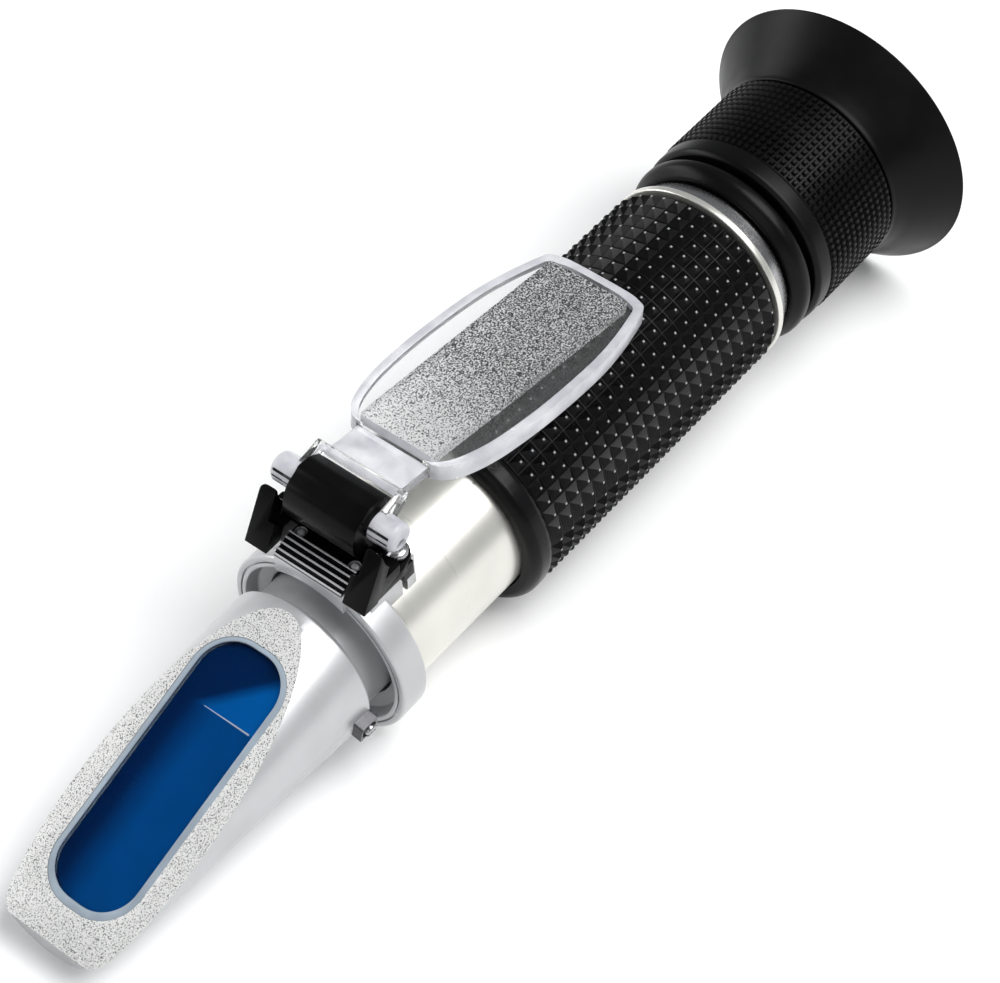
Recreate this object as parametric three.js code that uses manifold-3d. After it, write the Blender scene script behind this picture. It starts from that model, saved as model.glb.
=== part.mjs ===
// Handheld brewing refractometer: a slanted prism nose, a clear daylight cover on a pinned
// hinge, a straight tube in a rubber grip, and a focusing eyepiece with a rubber eyecup.
//
// Units are millimetres. The optical axis runs along X, the eyepiece is at +X and the prism
// face looks up (+Z). While the parts are drawn, x = 0 is the rear end of the rubber grip and
// z = 0 is the optical axis; the outer group then moves the origin to the middle of the
// object's underside.
import * as THREE from 'three';
import { mergeVertices } from 'three/addons/utils/BufferGeometryUtils.js';
import Module from 'manifold-3d';

const wasm = await Module();
wasm.setup();

// ---------------------------------------------------------------- driving dimensions
const NOSE_FRONT = -124.2;
const CUP_REAR = 33.8;
const CUP_RIM_RADIUS = 20.35;
const GAP = 0.3;

const NOSE = { frontRadius: 9.3, rearRadius: 10.6, shoulder: -77.8, neckRadius: 9.3, neckEnd: -62 };
const FACE_SLOPE = 20.8 * Math.PI / 180;
const FACE_EDGE_Z = -5.3;
const WINDOW = { start: 4.9, end: 41.2, halfWidth: 6.2, corner: 5.2 };

const TUBE = { front: -71.3, rear: 3.6, radius: 11.4, bore: 9.7 };
const COLLAR = { front: -76, rear: -71.7, radius: 13.4, recess: 11.8 };
const SADDLE_TOP = 13.7;

const HINGE = { x: -70, z: 20.4, barrel: 4.0, halfWidth: 5.4, pin: 0.75, pinHole: 1.05 };
const EAR = { radius: 2.6, inner: 5.8, arm: 6.7, outer: 9.4, sweep: 5.6 };
const HINGE_SCREW = { x: -68.4, y: 6.9 };
const STRIP_SCREW = { x: -72.7, y: 4.2 };
const WING = { toe: 5.9, inner: 7.0, outer: 9.2, foot: -76.8, rise: 6.2, lean: 3.5, thickness: 2.2 };

const OPEN_DROP = 8.0 * Math.PI / 180;
const COVER = { padSide: 4.45, flangeSide: 3.0, back: 1.4, length: 48.5, padStart: 12.2, padEnd: 46.8 };

const GRIP = { front: -51.3, rear: -GAP, radius: 14, bore: 11.7 };
const FLANGE = { front: 4.0, rear: 7.2, radius: 14.3 };
const RING = { front: 8.1, band: 11.3, rear: 24.0, radius: 14.6, bore: 11.5 };
const CELL = { front: 8.6, rear: 27.2, radius: 8.0, bore: 7.5 };

const ROUND = 40;
const FINE = 24;
const SMALL = 12;

// ---------------------------------------------------------------- solids
function solidOf(geometry) {
  const bare = geometry.index ? geometry.toNonIndexed() : geometry.clone();
  bare.deleteAttribute('normal');
  bare.deleteAttribute('uv');
  const merged = mergeVertices(bare, 1e-4);
  const vertices = new Float32Array(merged.attributes.position.array);
  const kept = [];
  const index = merged.index.array;
  for (let i = 0; i < index.length; i += 3) {
    const [a, b, c] = [index[i], index[i + 1], index[i + 2]];
    if (a !== b && b !== c && c !== a) kept.push(a, b, c);
  }
  if (signedVolume(vertices, kept) < 0) kept.reverse();
  const mesh = new wasm.Mesh({ numProp: 3, vertProperties: vertices, triVerts: new Uint32Array(kept) });
  return new wasm.Manifold(mesh);
}

function signedVolume(vertices, index) {
  const [a, b, c] = [new THREE.Vector3(), new THREE.Vector3(), new THREE.Vector3()];
  let sum = 0;
  for (let i = 0; i < index.length; i += 3) {
    a.fromArray(vertices, 3 * index[i]);
    b.fromArray(vertices, 3 * index[i + 1]);
    c.fromArray(vertices, 3 * index[i + 2]);
    sum += a.dot(b.cross(c));
  }
  return sum;
}

function geometryOf(solid) {
  const mesh = solid.getMesh();
  const geometry = new THREE.BufferGeometry();
  geometry.setAttribute('position', new THREE.BufferAttribute(new Float32Array(mesh.vertProperties), 3));
  geometry.setIndex(new THREE.BufferAttribute(new Uint32Array(mesh.triVerts), 1));
  geometry.computeVertexNormals();
  return geometry;
}

// A turned part about the X axis, from [x, radius] points.
function turned(profile, segments = ROUND) {
  const onAxis = profile[0][1] === 0 && profile[profile.length - 1][1] === 0;
  const points = (onAxis ? profile : [...profile, profile[0]]).map(([x, r]) => new THREE.Vector2(r, x));
  return solidOf(new THREE.LatheGeometry(points, segments).rotateZ(-Math.PI / 2));
}

function ring(x0, x1, bore, radius, segments = ROUND) {
  return turned([[x0, bore], [x0, radius], [x1, radius], [x1, bore]], segments);
}

function disc(x0, x1, radius, segments = ROUND) {
  return turned([[x0, 0], [x0, radius], [x1, radius], [x1, 0]], segments);
}

// A lens of two curved faces; a bulge is how far a face stands out at the axis.
function lens(x0, x1, radius, frontBulge, rearBulge) {
  const steps = 3;
  const face = (x, bulge) => Array.from({ length: steps + 1 }, (_, i) => {
    const share = i / steps;
    return [x + bulge * (1 - share ** 2), radius * share];
  });
  return turned([...face(x0, -frontBulge), ...face(x1, rearBulge).reverse()], FINE);
}

function block(x0, x1, y0, y1, z0, z1) {
  const box = new THREE.BoxGeometry(x1 - x0, y1 - y0, z1 - z0);
  return solidOf(box.translate((x0 + x1) / 2, (y0 + y1) / 2, (z0 + z1) / 2));
}

// A straight round pin between two points.
function pin(from, to, radius, segments = SMALL) {
  const start = new THREE.Vector3(...from);
  const along = new THREE.Vector3(...to).sub(start);
  const length = along.length();
  const cylinder = new THREE.CylinderGeometry(radius, radius, length, segments).translate(0, length / 2, 0);
  const turn = new THREE.Quaternion().setFromUnitVectors(new THREE.Vector3(0, 1, 0), along.normalize());
  return solidOf(cylinder.applyQuaternion(turn).translate(...from));
}

// An outline drawn in the XZ plane, given its width along Y.
function slab(shape, y0, y1) {
  const body = new THREE.ExtrudeGeometry(shape, { depth: y1 - y0, bevelEnabled: false, curveSegments: 8 });
  return solidOf(body.rotateX(Math.PI / 2).translate(0, y1, 0));
}

function polygon(points) {
  return new THREE.Shape(points.map(([x, y]) => new THREE.Vector2(x, y)));
}

function mirrored(make) {
  return make(1).add(make(-1));
}

// ---------------------------------------------------------------- the slanted prism face
// Face coordinates: a along the slope from its front edge, b across, c out of the face.
function faceFrame() {
  const along = new THREE.Vector3(Math.cos(FACE_SLOPE), 0, Math.sin(FACE_SLOPE));
  const across = new THREE.Vector3(0, 1, 0);
  const out = new THREE.Vector3().crossVectors(along, across);
  return new THREE.Matrix4().makeBasis(along, across, out).setPosition(NOSE_FRONT, 0, FACE_EDGE_Z);
}

// A round-ended window outline grown by a margin, between two depths under the face.
function windowSolid(margin, lowest, highest) {
  const x0 = WINDOW.start - margin;
  const x1 = WINDOW.end + margin;
  const half = WINDOW.halfWidth + margin;
  const corner = WINDOW.corner + margin;
  const outline = new THREE.Shape();
  outline.moveTo(x0 + corner, -half);
  outline.absarc(x1 - corner, -half + corner, corner, -Math.PI / 2, 0);
  outline.absarc(x1 - corner, half - corner, corner, 0, Math.PI / 2);
  outline.absarc(x0 + corner, half - corner, corner, Math.PI / 2, Math.PI);
  outline.absarc(x0 + corner, -half + corner, corner, Math.PI, 1.5 * Math.PI);
  const depth = highest - lowest;
  const body = new THREE.ExtrudeGeometry(outline, { depth, bevelEnabled: false, curveSegments: 6 });
  return solidOf(body.translate(0, 0, lowest).applyMatrix4(faceFrame()));
}

function aboveFace(clearance) {
  const box = new THREE.BoxGeometry(90, 60, 40).translate(30, 0, 20 + clearance);
  return solidOf(box.applyMatrix4(faceFrame()));
}

// The calibration screw stands on the side of the nose, a little below the horizontal.
const BOSS = { x: -80.7, half: 1.45, from: 8.6, to: 12.0, tilt: 12 * Math.PI / 180 };

function bossPoint(r) {
  return [BOSS.x, -r * Math.cos(BOSS.tilt), -r * Math.sin(BOSS.tilt)];
}

function calibrationBoss() {
  const length = BOSS.to - BOSS.from;
  const box = new THREE.BoxGeometry(2 * BOSS.half, length, 2 * BOSS.half);
  box.translate(0, -(BOSS.from + length / 2), 0).rotateX(BOSS.tilt).translate(BOSS.x, 0, 0);
  return solidOf(box);
}

function prismHousing() {
  const { frontRadius, rearRadius, shoulder, neckRadius, neckEnd } = NOSE;
  const outer = turned([
    [NOSE_FRONT, 0], [NOSE_FRONT, 8.3], [-123.4, 8.9], [-121.6, frontRadius], [-80.4, rearRadius],
    [shoulder - 0.6, rearRadius], [shoulder, rearRadius - 0.6], [shoulder, neckRadius],
    [neckEnd, neckRadius], [neckEnd, 0]]);
  const bore = disc(-88, neckEnd + 1, 7.4, FINE);
  const lightWay = disc(-100, -87, 6.0, FINE);
  return outer.subtract(aboveFace(0)).add(calibrationBoss())
    .subtract(windowSolid(0.5, -4.4, 1)).subtract(bore).subtract(lightWay)
    .subtract(pin(bossPoint(9.6), bossPoint(13), 1.2));
}

function prism() {
  const plate = windowSolid(-0.45, -3.6, -0.15);
  const foot = block(-99.4, -91, -4, 4, -1.5, 4).subtract(aboveFace(-3.5));
  return plate.add(foot);
}

function prismSeal() {
  return windowSolid(0.2, -1.2, -0.05).subtract(windowSolid(-0.15, -2, 1));
}

function blueFilter() {
  return windowSolid(-1.0, -4.2, -3.9).subtract(block(-101, -80, -8, 8, -20, 20));
}

function calibrationScrew() {
  const shank = pin(bossPoint(9.9), bossPoint(12.5), 0.9);
  const slot = new THREE.BoxGeometry(3, 0.6, 0.35).translate(0, -12.4, 0)
    .rotateX(BOSS.tilt).translate(BOSS.x, 0, 0);
  return shank.subtract(solidOf(slot));
}

// ---------------------------------------------------------------- collar and hinge
// An upright pin at one of a left and right pair of places.
function upright(place, side, z0, z1, radius) {
  return pin([place.x, side * place.y, z0], [place.x, side * place.y, z1], radius);
}

function hingeCollar() {
  const { front, rear, radius, recess } = COLLAR;
  const band = turned([
    [front, recess], [front, radius - 0.5], [front + 0.5, radius], [rear - 0.4, radius],
    [rear, radius - 0.4], [rear, TUBE.bore], [front + 2.2, TUBE.bore], [front + 1.8, recess - 0.4]]);
  const wide = block(-74.4, -66.4, -7.9, 7.9, 6, SADDLE_TOP);
  const narrow = block(-76.5, -74.2, -5.3, 5.3, 10.5, SADDLE_TOP);
  const saddle = wide.add(narrow)
    .subtract(disc(rear - 0.01, -60, TUBE.radius + GAP))
    .subtract(disc(front - 1, rear, COLLAR.recess + 0.2));
  const screwHoles = mirrored((side) => upright(HINGE_SCREW, side, 8, 14, 1.1));
  const stripHoles = mirrored((side) => upright(STRIP_SCREW, side, 12.2, 14, 0.7));
  return band.add(saddle).subtract(screwHoles).subtract(stripHoles)
    .subtract(pin([-73.4, 0, -14], [-73.4, 0, -9], 1.3));
}

function collarScrew() {
  const shank = pin([-73.4, 0, -12.9], [-73.4, 0, -9.9], 1.0);
  return shank.subtract(pin([-73.4, 0, -14], [-73.4, 0, -11.9], 0.55, 6));
}

function hingeBlock() {
  const { x, z, barrel, halfWidth, pinHole } = HINGE;
  const floor = SADDLE_TOP + GAP;
  const foot = floor + 1.2;
  const drum = pin([x, -halfWidth, z], [x, halfWidth, z], barrel, FINE);
  const middle = (points) => slab(polygon(points), -halfWidth, halfWidth);
  const pedestal = middle([
    [x - 1.5, floor], [x + 3.8, floor], [x + 3.8, z - 0.6], [x, z + 1], [x - 1.5, z - 1]]);
  const ridge = middle([[x - 0.9, z + 3.4], [x + 0.1, z + 4.15], [x + 1.1, z + 3.4]]);
  const sole = block(x - 1.5, x + 3.8, -WING.outer, WING.outer, floor, foot);
  const boltHoles = mirrored((side) => upright(HINGE_SCREW, side, floor - 1, foot + 1, 1.1));
  return drum.add(pedestal).add(ridge).add(sole).add(mirrored(wing)).subtract(boltHoles)
    .subtract(crossPin(pinHole));
}

// A wing stands in front of each ear; its inner toe stays clear of the swinging arm.
function wing(side) {
  const { toe, inner, outer, foot, rise, lean, thickness } = WING;
  const floor = SADDLE_TOP + GAP;
  const sole = floor + 1.2;
  const top = floor + rise;
  const outline = polygon([
    [foot, floor], [HINGE.x, floor], [HINGE.x, sole], [foot + thickness + 0.7, sole],
    [foot + lean + thickness, top], [foot + lean + 0.4, top], [foot + lean - 0.1, top - 0.4],
    [foot - 0.1, floor + 0.5]]);
  const between = (a, b) => slab(outline, Math.min(side * a, side * b), Math.max(side * a, side * b));
  const cheek = between(inner, outer).subtract(crossPin(EAR.radius + 0.35));
  return cheek.add(between(toe, inner).subtract(crossPin(EAR.sweep + 0.35)));
}

// A pin on the hinge axis, wider than the hinge.
function crossPin(radius) {
  return pin([HINGE.x, -12, HINGE.z], [HINGE.x, 12, HINGE.z], radius, FINE);
}

function hingePin() {
  return pin([HINGE.x, -9.0, HINGE.z], [HINGE.x, 9.0, HINGE.z], HINGE.pin);
}

function hingeScrew(side) {
  const head = SADDLE_TOP + GAP + 1.2 + GAP;
  const { x, y } = HINGE_SCREW;
  const slot = block(x - 2, x + 2, side * y - 0.2, side * y + 0.2, head + 0.5, head + 2);
  return upright(HINGE_SCREW, side, 11.0, head + 0.1, 0.8)
    .add(upright(HINGE_SCREW, side, head, head + 0.9, 1.5)).subtract(slot);
}

// The ribbed metal strip between the wings. Its ribs follow the slope of the closed cover.
function detentStrip() {
  const floor = SADDLE_TOP + GAP;
  const front = -76.5;
  const rear = -71.8;
  const land = 15.1;
  const ribs = 4;
  const pitch = 0.78;
  const points = [[front, floor], [rear, floor], [rear, land], [-73.3, land]];
  for (let i = 0; i < ribs; i++) {
    const x = -73.4 - i * pitch;
    const top = 15.45 - i * pitch * Math.tan(FACE_SLOPE);
    points.push([x, top], [x - 0.38, top], [x - 0.5, top - 0.4], [x - 0.7, top - 0.4]);
  }
  const holes = mirrored((side) => upright(STRIP_SCREW, side, 13, 17, 0.8));
  return slab(polygon(points), -5.2, 5.2).subtract(holes);
}

function stripScrew(side) {
  const { x, y } = STRIP_SCREW;
  const slot = block(x - 1, x + 1, side * y - 0.1, side * y + 0.1, 15.0, 16);
  return upright(STRIP_SCREW, side, 12.5, 14.5, 0.35)
    .add(upright(STRIP_SCREW, side, 14.4, 15.15, 0.5)).subtract(slot);
}

// ---------------------------------------------------------------- daylight cover
// Cover coordinates: u away from the hinge axis, b across, n towards the side that touches
// the prism. Open, that side looks up and the cover lies back along the tube.
function coverFrame() {
  const along = new THREE.Vector3(Math.cos(OPEN_DROP), 0, -Math.sin(OPEN_DROP));
  const across = new THREE.Vector3(0, 1, 0);
  const out = new THREE.Vector3().crossVectors(along, across);
  return new THREE.Matrix4().makeBasis(along, across, out).setPosition(HINGE.x, 0, HINGE.z);
}

function coverOutline(inset) {
  const half = new THREE.CatmullRomCurve3([
    new THREE.Vector3(6.6, 5.4, 0), new THREE.Vector3(8.6, 6.6, 0), new THREE.Vector3(11.5, 8.4, 0),
    new THREE.Vector3(17, 9.7, 0), new THREE.Vector3(26, 10.3, 0), new THREE.Vector3(36, 9.9, 0),
    new THREE.Vector3(43.5, 8.7, 0), new THREE.Vector3(47.7, 7.4, 0)]);
  const side = half.getPoints(18).map((p) => [p.x, p.y - inset]).filter(([u]) => u > 9.3);
  const end = COVER.length - inset;
  const upper = [...side.filter(([u]) => u < end - 0.9), [end - 0.7, side[side.length - 1][1] - 0.3],
    [end - 0.15, 5.2 - inset], [end, 2.5]];
  const lower = [...upper].reverse().map(([u, y]) => [u, -y]);
  return polygon([...upper, ...lower]);
}

function coverLayer(shape, n0, n1) {
  const body = new THREE.ExtrudeGeometry(shape, { depth: n1 - n0, bevelEnabled: false, curveSegments: 8 });
  return solidOf(body.translate(0, 0, n0).applyMatrix4(coverFrame()));
}

// An outline drawn in the cover's u and n, spanning both sides of the middle.
function coverProfile(shape, halfWidth) {
  const depth = 2 * halfWidth;
  const body = new THREE.ExtrudeGeometry(shape, { depth, bevelEnabled: false, curveSegments: 10 });
  return solidOf(body.rotateX(Math.PI / 2).translate(0, halfWidth, 0).applyMatrix4(coverFrame()));
}

// An ear is a round cheek on the pin; its thin inner arm reaches back to the crossbar.
function ears() {
  const arm = new THREE.Shape();
  arm.absarc(0, 0, EAR.radius, 0.75 * Math.PI, 1.95 * Math.PI);
  arm.absarc(3.6, 3.15, 0.8, -0.25 * Math.PI, 0.75 * Math.PI);
  const reach = coverProfile(arm, EAR.arm);
  const middle = coverProfile(polygon([[-9, -9], [9, -9], [9, 9], [-9, 9]]), EAR.inner);
  const cheeks = pin([HINGE.x, -EAR.outer, HINGE.z], [HINGE.x, EAR.outer, HINGE.z], EAR.radius, FINE);
  return reach.add(cheeks).subtract(middle);
}

function daylightCover() {
  const { padSide, flangeSide, back, padStart, padEnd } = COVER;
  const flange = coverLayer(coverOutline(0), back, flangeSide);
  const rim = coverLayer(coverOutline(0), flangeSide - 0.1, flangeSide + 0.7)
    .subtract(coverLayer(coverOutline(1.1), flangeSide - 0.5, flangeSide + 2))
    .subtract(coverLayer(polygon([[5, -12], [12, -12], [12, 12], [5, 12]]), 0, padSide + 1));
  const pad = coverLayer(polygon([
    [padStart, -5.6], [padEnd, -5.9], [padEnd, 5.9], [padStart, 5.6]]), flangeSide - 0.1, padSide);
  const neck = coverProfile(polygon([[4.15, 1.5], [11, 1.5], [11, flangeSide], [3.3, flangeSide]]), 5.4);
  const crossbar = coverProfile(
    polygon([[2.9, 3.3], [3.9, 2.6], [4.4, 2.9], [4.1, 3.4], [3.5, 3.8]]), EAR.arm);
  return flange.add(rim).add(pad).add(neck).add(crossbar).add(ears()).subtract(crossPin(HINGE.pinHole));
}

// ---------------------------------------------------------------- tube, grip and rings
function mainTube() {
  return ring(TUBE.front, TUBE.rear, TUBE.bore, TUBE.radius);
}

function grip() {
  const { front, rear, radius, bore } = GRIP;
  return turned([
    [front, bore], [front, radius - 1.1], [front + 0.4, radius - 0.4], [front + 1.2, radius],
    [rear - 0.3, radius], [rear, radius - 0.3], [rear, bore]]);
}

function trimRing() {
  return turned([[0, 11.7], [0, 13.6], [0.2, 13.9], [0.8, 13.9], [1.0, 13.6], [1.0, 11.7]]);
}

function rearRing() {
  return turned([[1.3, 11.7], [1.3, 13.1], [3.4, 12.7], [3.7, 12.5], [3.7, 11.7]]);
}

function objectiveLens() {
  return lens(-69.6, -68.2, 7.1, 1.0, 0.9);
}

function lightBaffle() {
  return ring(-27, -26, 5.2, 9.4, FINE);
}

function bimetalStrip() {
  const strip = block(-60, -31, -2.4, 2.4, 7.9, 8.6);
  return strip.subtract(pin([-33.5, 0, 7], [-33.5, 0, 9.6], 1.1));
}

function bimetalScrew() {
  return pin([-33.5, 0, 5.6], [-33.5, 0, 9.3], 0.8).add(pin([-33.5, 0, 6.4], [-33.5, 0, 7.6], 1.7));
}

function reticle() {
  return disc(-4.6, -3.4, 7.9, FINE);
}

// ---------------------------------------------------------------- eyepiece
function eyepieceSleeve() {
  const { front, rear, radius } = FLANGE;
  return turned([
    [-9, 8.3], [-9, 9.4], [front, 9.4], [front, radius - 1.2], [front + 0.5, radius - 0.3],
    [front + 1.1, radius], [rear - 0.7, radius], [rear, radius - 0.6], [rear, 11.2], [20, 11.2],
    [20, 8.3]]);
}

function focusRing() {
  const { front, band, rear, radius, bore } = RING;
  return turned([
    [front, bore], [front, radius - 0.7], [front + 0.5, radius - 0.15], [band, radius - 0.15],
    [band + 0.1, radius], [rear - 0.2, radius], [rear, radius - 0.2], [rear, 12.2], [27.2, 12.2],
    [27.2, 8.5], [22, 8.5], [22, bore]]);
}

function lensCell() {
  const { front, rear, radius, bore } = CELL;
  return turned([
    [front, 6.4], [front, radius], [rear, radius], [rear, bore], [front + 1.2, bore],
    [front + 1.2, 6.4]]);
}

function eyecup() {
  const rim = CUP_REAR;
  return turned([
    [24.3, 12.5], [24.3, 14.9], [24.7, 15.2], [27.0, 16.6], [29.6, 18.2], [32.0, 19.5],
    [33.2, 20.1], [rim - 0.3, CUP_RIM_RADIUS], [rim, CUP_RIM_RADIUS - 0.25], [rim, 19.6],
    [33.2, 18.9], [31.0, 17.7], [29.2, 15.6], [28.6, 13.4], [28.4, 9.0], [27.5, 8.6], [27.5, 12.5]]);
}

// ---------------------------------------------------------------- materials and assembly
function finish(color, roughness, metalness, opacity = 1) {
  return new THREE.MeshStandardMaterial({ color, roughness, metalness, opacity, transparent: opacity < 1 });
}

const SATIN = finish(0xd6d6d2, 0.38, 1);
const BRIGHT = finish(0xe4e2da, 0.25, 1);
const BLACK_METAL = finish(0x111113, 0.4, 0.8);
const BLACK_PLASTIC = finish(0x0b0b0c, 0.25, 0);
const RUBBER = finish(0x121212, 0.7, 0);
const CLEAR = finish(0xeef2f4, 0.1, 0, 0.4);
const GLASS = finish(0xe8f0f5, 0.02, 0, 0.3);
const BLUE = finish(0x06458c, 0.08, 0);
const STEEL = finish(0xb9bbbd, 0.3, 1);
const BRASS = finish(0xb89a54, 0.35, 1);
const SEAL = finish(0xc9d6e0, 0.6, 0);

const PIECES = [
  ['prism_housing', prismHousing(), SATIN],
  ['prism', prism(), BLUE],
  ['prism_seal', prismSeal(), SEAL],
  ['blue_filter', blueFilter(), BLUE],
  ['calibration_screw', calibrationScrew(), STEEL],
  ['hinge_collar', hingeCollar(), SATIN],
  ['collar_screw', collarScrew(), STEEL],
  ['hinge_block', hingeBlock(), BLACK_PLASTIC],
  ['hinge_pin', hingePin(), STEEL],
  ['hinge_screw_left', hingeScrew(1), STEEL],
  ['hinge_screw_right', hingeScrew(-1), STEEL],
  ['detent_strip', detentStrip(), STEEL],
  ['strip_screw_left', stripScrew(1), STEEL],
  ['strip_screw_right', stripScrew(-1), STEEL],
  ['daylight_cover', daylightCover(), CLEAR],
  ['main_tube', mainTube(), BRIGHT],
  ['objective_lens', objectiveLens(), GLASS],
  ['objective_ring', ring(-66.4, -64.6, 6.0, 7.1, FINE), BLACK_METAL],
  ['light_baffle', lightBaffle(), BLACK_METAL],
  ['bimetal_strip', bimetalStrip(), BRASS],
  ['bimetal_screw', bimetalScrew(), BRASS],
  ['rubber_grip', grip(), RUBBER],
  ['trim_ring', trimRing(), BRIGHT],
  ['rear_ring', rearRing(), SATIN],
  ['reticle', reticle(), GLASS],
  ['reticle_ring', ring(-3.0, -1.4, 7.0, 7.9, FINE), BLACK_METAL],
  ['eyepiece_sleeve', eyepieceSleeve(), BLACK_METAL],
  ['lens_cell', lensCell(), BLACK_METAL],
  ['field_lens', lens(12.0, 13.4, 7.1, 0.6, 1.2), GLASS],
  ['lens_spacer', ring(13.8, 20.4, 6.3, 7.2, FINE), BLACK_METAL],
  ['eye_lens', lens(21.9, 23.3, 7.1, 1.1, 1.1), GLASS],
  ['lens_retainer', ring(23.7, 25.4, 6.2, 7.2, FINE), BLACK_METAL],
  ['focus_ring', focusRing(), BLACK_METAL],
  ['eyecup', eyecup(), RUBBER],
];

const assembly = new THREE.Group();
assembly.position.set(-(NOSE_FRONT + CUP_REAR) / 2, 0, CUP_RIM_RADIUS);
for (const [name, solid, material] of PIECES) {
  const mesh = new THREE.Mesh(geometryOf(solid), material);
  mesh.name = name;
  assembly.add(mesh);
}

const refractometer = new THREE.Group();
refractometer.add(assembly);

export default refractometer;
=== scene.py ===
"""Looks of a handheld refractometer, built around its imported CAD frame.

Shapes are drawn in millimetres in drawing coordinates: the optical axis runs along X, x = 0 is
the front of the trim ring and z = 0 is the axis. TO_ROW turns them into the row frame.
"""

import math

import bmesh
import bpy
from mathutils import Euler, Matrix, Vector


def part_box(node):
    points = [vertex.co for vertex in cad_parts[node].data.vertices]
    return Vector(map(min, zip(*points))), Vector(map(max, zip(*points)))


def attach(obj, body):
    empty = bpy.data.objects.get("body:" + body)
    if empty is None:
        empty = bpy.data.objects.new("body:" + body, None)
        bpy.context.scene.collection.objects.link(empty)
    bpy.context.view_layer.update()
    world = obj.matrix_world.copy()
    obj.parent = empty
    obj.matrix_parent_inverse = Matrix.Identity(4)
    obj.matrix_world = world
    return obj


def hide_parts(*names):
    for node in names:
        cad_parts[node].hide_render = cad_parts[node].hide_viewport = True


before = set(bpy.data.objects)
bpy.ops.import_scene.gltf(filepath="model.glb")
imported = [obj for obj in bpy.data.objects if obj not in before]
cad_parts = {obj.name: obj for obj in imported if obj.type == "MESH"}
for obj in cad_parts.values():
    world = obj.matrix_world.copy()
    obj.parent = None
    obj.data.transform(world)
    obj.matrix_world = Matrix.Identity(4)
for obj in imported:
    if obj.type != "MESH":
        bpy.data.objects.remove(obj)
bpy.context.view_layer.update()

MM = 0.001
ring_low, ring_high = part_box("trim_ring")
ORIGIN = Vector((ring_low.x, 0.0, (ring_low.z + ring_high.z) / 2))
TO_ROW = Matrix.Translation(ORIGIN) @ Matrix.Scale(MM, 4)
ROUND_STEPS, SMALL_STEPS = 224, 96  # round a turned part: large and in view, or small
CREASE = math.radians(28)

# ---------------------------------------------------------------- driving dimensions
# Nose: its sloped face starts at NOSE_FRONT, FACE_LOW_Z and rises towards the hinge.
NOSE_FRONT, NECK_RADIUS = -124.2, 9.3
FACE_SLOPE, FACE_LOW_Z = math.radians(20.0), -5.3
LUG_X, LUG_TILT = -80.7, math.radians(12)

# Window for the prism, measured up the face and across it, and the prism's offset in it.
WINDOW_LOW, WINDOW_HIGH, WINDOW_HALF, WINDOW_CORNER = 4.9, 41.2, 6.2, 5.2
PRISM_SHIFT = (0.2, 0.14)

# Collar and hinge.
COLLAR_FRONT, COLLAR_REAR, COLLAR_RADIUS = -76, -71.7, 13.4
SADDLE_TOP = 13.7
HINGE_X, HINGE_Z = -70.0, 20.4
HINGE_SCREW_X, HINGE_SCREW_Y = -68.4, 6.9
STRIP_SCREW_X, STRIP_SCREW_Y = -72.7, 4.2
RIB_COUNT, RIB_PITCH, RIB_TOP, RIB_FIRST_X = 4, 0.78, 15.45, -73.4

# Cover, measured away from the hinge and out towards the pad. It dips by OPEN_DROP when open.
OPEN_DROP = math.radians(8.0)
COVER_LOW, COVER_TOP, COVER_END, COVER_RIM = 1.4, 3.7, 49.8, 1.15
PAD_START, PAD_END, PAD_TOP = 9.9, 47.4, 4.4
EAR_GROOVES, GROOVE_HALF = (0.1, 0.9, 1.7), 0.13

# Tube, and what sits on it: radii.
TUBE_BORE, TUBE_RADIUS, SLEEVE_BORE = 9.7, 11.4, 11.7
STUD_BASE, STUD_TOP = 13.2, 14.0
KNURL_BASE, KNURL_TOP = 14.2, 14.6


# ---------------------------------------------------------------- frames for drawing
def axes(first, second, origin=(0, 0, 0), third=None):
    """A matrix whose columns are the outline's two directions and the depth direction."""
    a, b = Vector(first), Vector(second)
    c = Vector(third) if third else a.cross(b)
    return Matrix.Translation(origin) @ Matrix((a, b, c)).transposed().to_4x4()


FACE = axes((math.cos(FACE_SLOPE), 0, math.sin(FACE_SLOPE)), (0, 1, 0), (NOSE_FRONT, 0, FACE_LOW_Z))
SIDEWAYS = axes((1, 0, 0), (0, 0, 1), third=(0, 1, 0))
LEVEL = Matrix.Identity(4)
cover_along = Vector((math.cos(OPEN_DROP), 0, -math.sin(OPEN_DROP)))
cover_out = Vector((math.sin(OPEN_DROP), 0, math.cos(OPEN_DROP)))
HINGE_POINT = Vector((HINGE_X, 0, HINGE_Z))
COVER = axes(cover_along, (0, 1, 0), (HINGE_X, 0, HINGE_Z))
COVER_SIDE = axes(cover_along, cover_out, (HINGE_X, 0, HINGE_Z), third=(0, 1, 0))


# ---------------------------------------------------------------- mesh helpers
def object_from(name, bm):
    """A scene object from drawn geometry, with its faces pointing out."""
    bmesh.ops.recalc_face_normals(bm, faces=bm.faces)
    mesh = bpy.data.meshes.new(name)
    bm.to_mesh(mesh)
    bm.free()
    made = bpy.data.objects.new(name, mesh)
    bpy.context.scene.collection.objects.link(made)
    return made


def filleted(points, closed=True, steps=5):
    """Points are (a, b) or (a, b, fillet); each fillet becomes a smooth corner."""
    out = []
    for i, point in enumerate(points):
        here = Vector(point[:2])
        reach = point[2] if len(point) > 2 else 0.0
        if reach <= 0 or (not closed and i in (0, len(points) - 1)):
            out.append(tuple(here))
            continue
        before = Vector(points[i - 1][:2]) - here
        after = Vector(points[(i + 1) % len(points)][:2]) - here
        reach = min(reach, before.length * 0.48, after.length * 0.48)
        start, end = here + before.normalized() * reach, here + after.normalized() * reach
        for k in range(steps + 1):
            t = k / steps
            out.append(tuple((1 - t) ** 2 * start + 2 * t * (1 - t) * here + t * t * end))
    return out


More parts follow.
